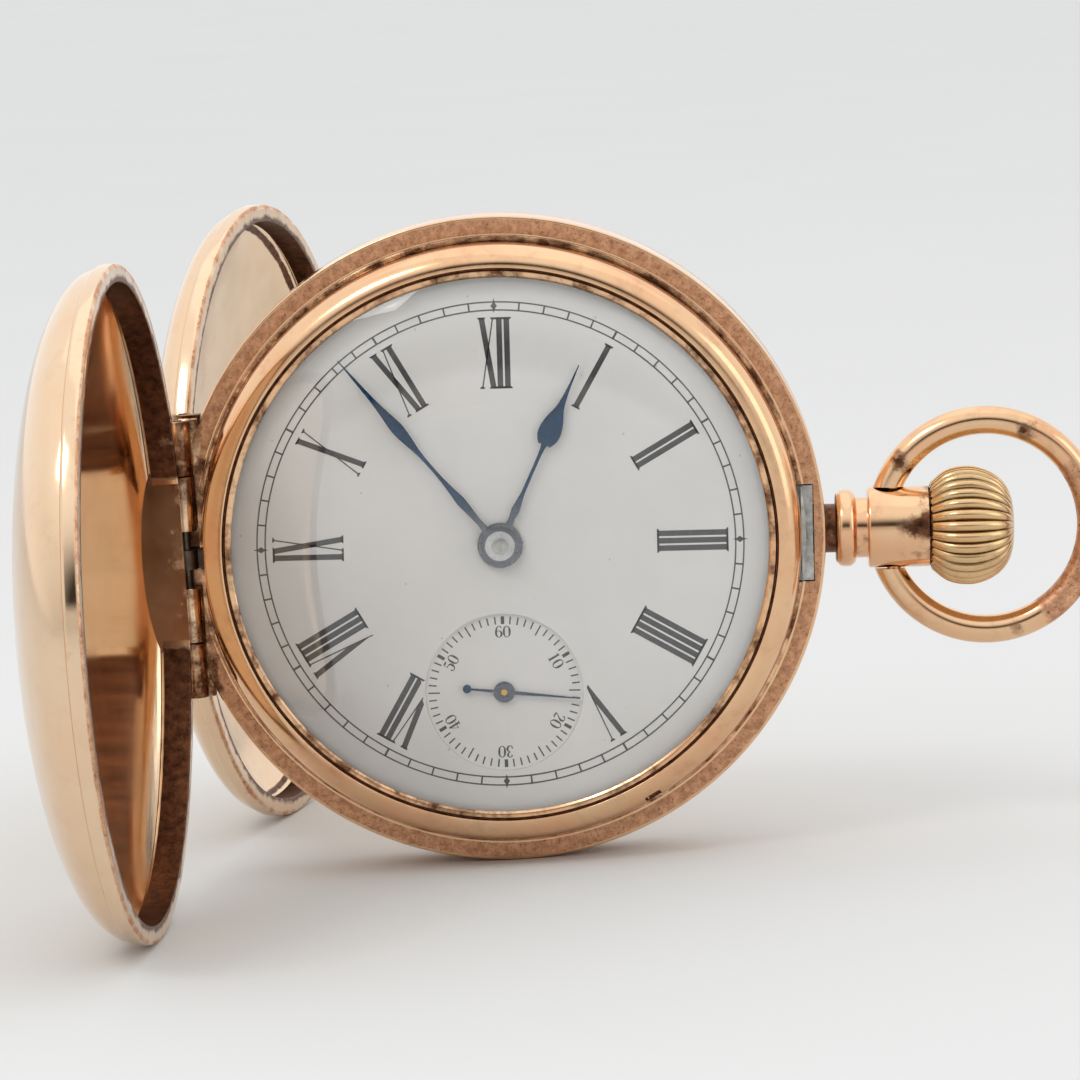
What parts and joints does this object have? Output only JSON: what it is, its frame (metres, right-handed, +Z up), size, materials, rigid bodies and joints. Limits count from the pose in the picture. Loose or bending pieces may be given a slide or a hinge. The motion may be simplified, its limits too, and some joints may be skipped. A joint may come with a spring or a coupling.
{
  "type": "hunter pocket watch",
  "caption": "Full hunter pocket watch with hinged front and rear lids, dust cover, snap bezel, swivelling bow, push crown and a full winding and going train",
  "frame": {"origin": "centre of the movement seat: on the case axis, in the plane of the front lid's seat", "axes": "+Y runs from the dial to the back along the case axis, +Z up along the hinges toward twelve, +X toward the crown; the pendant and movement stand 2.2 degrees clockwise of this"},
  "size_m": [0.0812, 0.1033, 0.0504],
  "materials": {
    "case_gold": "polished gold-filled case, worn at the edges",
    "lid_gold": "polished gold-filled sheet",
    "crown_gold": "fluted gold, dark in the grooves",
    "case_steel": "tarnished spring steel",
    "stem_steel": "turned steel",
    "blued_steel": "blued and polished",
    "glass": "clear mineral glass",
    "enamel": "fired white enamel",
    "copper": "bare copper",
    "plate_gilt": "gilt, fine grained",
    "wheel_brass": "polished brass",
    "steelwork": "ground steel",
    "spring_steel": "tempered spring steel",
    "ruby": "polished red stone"
  },
  "bodies": {
    "case": {"case_band": "case_gold", "pendant_neck": "case_gold", "pendant_sleeve": "stem_steel", "front_hinge_pin": "case_steel", "rear_hinge_pin": "case_steel", "dust_cover_hinge_pin": "case_steel", "lift_spring": "case_steel", "case_spring_screws": "case_steel", "movement_screws": "blued_steel", "dial": "enamel", "seconds_sub_dial": "enamel", "dial_feet": "copper", "main_plate": "plate_gilt", "barrel_bridge": "plate_gilt", "train_bridge": "plate_gilt", "balance_cock": "plate_gilt", "pallet_bridge": "plate_gilt", "bridge_screws": "blued_steel", "crown_wheel_screw": "blued_steel", "click_spring": "spring_steel", "hairspring": "spring_steel", "plate_jewels": "ruby"},
    "front_cover": {"front_lid": "lid_gold"},
    "rear_cover": {"rear_lid": "lid_gold"},
    "inner_cover": {"dust_cover": "lid_gold"},
    "glass_ring": {"bezel": "case_gold", "crystal": "glass"},
    "bow_ring": {"bow": "case_gold"},
    "push_stem": {"case_stem": "stem_steel"},
    "winding_crown": {"crown": "crown_gold"},
    "catch": {"lock_spring": "case_steel"},
    "inner_stem": {"winding_stem": "stem_steel", "winding_pinion": "steelwork"},
    "clutch": {"sliding_clutch": "steelwork"},
    "intermediate_wheel": {"crown_wheel": "steelwork"},
    "ratchet": {"barrel_arbor": "steelwork", "ratchet_wheel": "steelwork", "ratchet_screw": "blued_steel"},
    "click_lever": {"click": "steelwork"},
    "barrel": {"mainspring_barrel": "wheel_brass", "mainspring": "spring_steel"},
    "centre": {"centre_wheel": "wheel_brass", "cannon_pinion": "steelwork", "minute_hand": "blued_steel"},
    "third": {"third_wheel": "wheel_brass"},
    "fourth": {"fourth_wheel": "wheel_brass", "second_hand": "blued_steel"},
    "escape": {"escape_wheel": "steelwork"},
    "pallets": {"pallet_fork": "steelwork", "pallet_stones": "ruby"},
    "balance": {"balance_wheel": "wheel_brass", "balance_screws": "wheel_brass", "balance_staff": "steelwork"},
    "regulator_arm": {"regulator": "steelwork"},
    "minute_work": {"minute_wheel": "wheel_brass"},
    "hour_work": {"hour_wheel": "wheel_brass", "hour_hand": "blued_steel"},
    "setting_work": {"setting_wheel": "steelwork"},
    "set_lever": {"setting_lever": "steelwork"},
    "yoke": {"yoke_lever": "steelwork"}
  },
  "joints": [
    {"name": "front_lid_hinge", "type": "hinge", "parent": "case", "child": "front_cover", "pos_m": [-0.0245, 0, 0], "axis": [0, 0, -1], "range_deg": [-93.8, 11.2]},
    {"name": "rear_lid_hinge", "type": "hinge", "parent": "case", "child": "rear_cover", "pos_m": [-0.0245, 0.005, 0], "axis": [0, 0, 1], "range_deg": [-77.5, 22.5]},
    {"name": "dust_cover_hinge", "type": "hinge", "parent": "case", "child": "inner_cover", "pos_m": [-0.0222, 0.00575, 0], "axis": [0, 0, 1], "range_deg": [0, 70]},
    {"name": "bezel_pull", "type": "slide", "parent": "case", "child": "glass_ring", "axis": [0, -1, 0], "range_m": [0, 0.004]},
    {"name": "bow_swing", "type": "hinge", "parent": "case", "child": "bow_ring", "pos_m": [0.03048, 0.0025, -0.00117], "axis": [0.0384, 0, 0.9993], "range_deg": [-80, 80]},
    {"name": "crown_press", "type": "slide", "parent": "case", "child": "push_stem", "axis": [0.9993, 0, -0.0384], "range_m": [-0.001, 0], "stiffness_N_per_m": 900, "springref_m": 0.001},
    {"name": "catch_draw", "type": "slide", "parent": "case", "child": "catch", "axis": [0.9993, 0, -0.0384], "range_m": [-0.001, 0]},
    {"name": "crown_spin", "type": "hinge", "parent": "push_stem", "child": "winding_crown", "pos_m": [0.03338, 0.0025, -0.00128], "axis": [0.9993, 0, -0.0384], "continuous": true},
    {"name": "stem_spin", "type": "hinge", "parent": "case", "child": "inner_stem", "pos_m": [0.01499, 0.0025, -0.00058], "axis": [0.9993, 0, -0.0384], "continuous": true},
    {"name": "crown_wheel_spin", "type": "hinge", "parent": "case", "child": "intermediate_wheel", "pos_m": [0.01169, 0, -0.00045], "axis": [0, 1, 0], "continuous": true},
    {"name": "ratchet_spin", "type": "hinge", "parent": "case", "child": "ratchet", "pos_m": [0.0056, 0, 0.00889], "axis": [0, 1, 0], "continuous": true},
    {"name": "click_swing", "type": "hinge", "parent": "case", "child": "click_lever", "pos_m": [-0.00322, 0, 0.00993], "axis": [0, 1, 0], "range_deg": [0, 12]},
    {"name": "barrel_spin", "type": "hinge", "parent": "case", "child": "barrel", "pos_m": [0.0056, 0, 0.00889], "axis": [0, 1, 0], "continuous": true},
    {"name": "centre_spin", "type": "hinge", "parent": "case", "child": "centre", "pos_m": [0, 0, 0], "axis": [0, 1, 0], "continuous": true},
    {"name": "third_spin", "type": "hinge", "parent": "case", "child": "third", "pos_m": [0.00376, 0, -0.00614], "axis": [0, 1, 0], "continuous": true},
    {"name": "fourth_spin", "type": "hinge", "parent": "case", "child": "fourth", "pos_m": [-0.00044, 0, -0.01149], "axis": [0, 1, 0], "continuous": true},
    {"name": "escape_spin", "type": "hinge", "parent": "case", "child": "escape", "pos_m": [-0.00667, 0, -0.01349], "axis": [0, 1, 0], "continuous": true},
    {"name": "pallet_rock", "type": "hinge", "parent": "case", "child": "pallets", "pos_m": [-0.00842, 0, -0.00966], "axis": [0, 1, 0], "range_deg": [-6, 6]},
    {"name": "balance_swing", "type": "hinge", "parent": "case", "child": "balance", "pos_m": [-0.01074, 0, -0.00456], "axis": [0, 1, 0], "range_deg": [-135, 135]},
    {"name": "regulator_shift", "type": "hinge", "parent": "case", "child": "regulator_arm", "pos_m": [-0.01074, 0, -0.00456], "axis": [0, 1, 0], "range_deg": [-20, 20]},
    {"name": "minute_wheel_spin", "type": "hinge", "parent": "case", "child": "minute_work", "pos_m": [0.00406, 0, -0.00256], "axis": [0, 1, 0], "continuous": true},
    {"name": "hour_spin", "type": "hinge", "parent": "case", "child": "hour_work", "pos_m": [0, 0, 0], "axis": [0, 1, 0], "continuous": true},
    {"name": "setting_wheel_spin", "type": "hinge", "parent": "case", "child": "setting_work", "pos_m": [0.00938, 0, -0.00164], "axis": [0, 1, 0], "continuous": true},
    {"name": "setting_lever_pull", "type": "slide", "parent": "case", "child": "set_lever", "axis": [0.9993, 0, -0.0384], "range_m": [0, 0.0008]},
    {"name": "clutch_shift", "type": "slide", "parent": "inner_stem", "child": "clutch", "axis": [0.9993, 0, -0.0384], "range_m": [-0.0008, 0]},
    {"name": "yoke_rock", "type": "hinge", "parent": "case", "child": "yoke", "pos_m": [0.01257, 0, -0.00749], "axis": [0, 1, 0], "range_deg": [-6.6, 0]}
  ],
  "couplings": [
    {"joint": "catch_draw", "follows": "crown_press", "ratio": 1},
    {"joint": "stem_spin", "follows": "crown_spin", "ratio": 1},
    {"joint": "crown_wheel_spin", "follows": "crown_spin", "ratio": -0.46875},
    {"joint": "ratchet_spin", "follows": "crown_spin", "ratio": 0.29412},
    {"joint": "third_spin", "follows": "fourth_spin", "ratio": -0.13333},
    {"joint": "centre_spin", "follows": "fourth_spin", "ratio": 0.016667},
    {"joint": "barrel_spin", "follows": "fourth_spin", "ratio": -0.0027778},
    {"joint": "escape_spin", "follows": "fourth_spin", "ratio": -10},
    {"joint": "minute_wheel_spin", "follows": "fourth_spin", "ratio": -0.0055556},
    {"joint": "hour_spin", "follows": "fourth_spin", "ratio": 0.0013889},
    {"joint": "setting_wheel_spin", "follows": "fourth_spin", "ratio": 0.011111},
    {"joint": "clutch_shift", "follows": "setting_lever_pull", "ratio": -1},
    {"joint": "yoke_rock", "follows": "setting_lever_pull", "rad_per_m": -143.1}
  ]
}
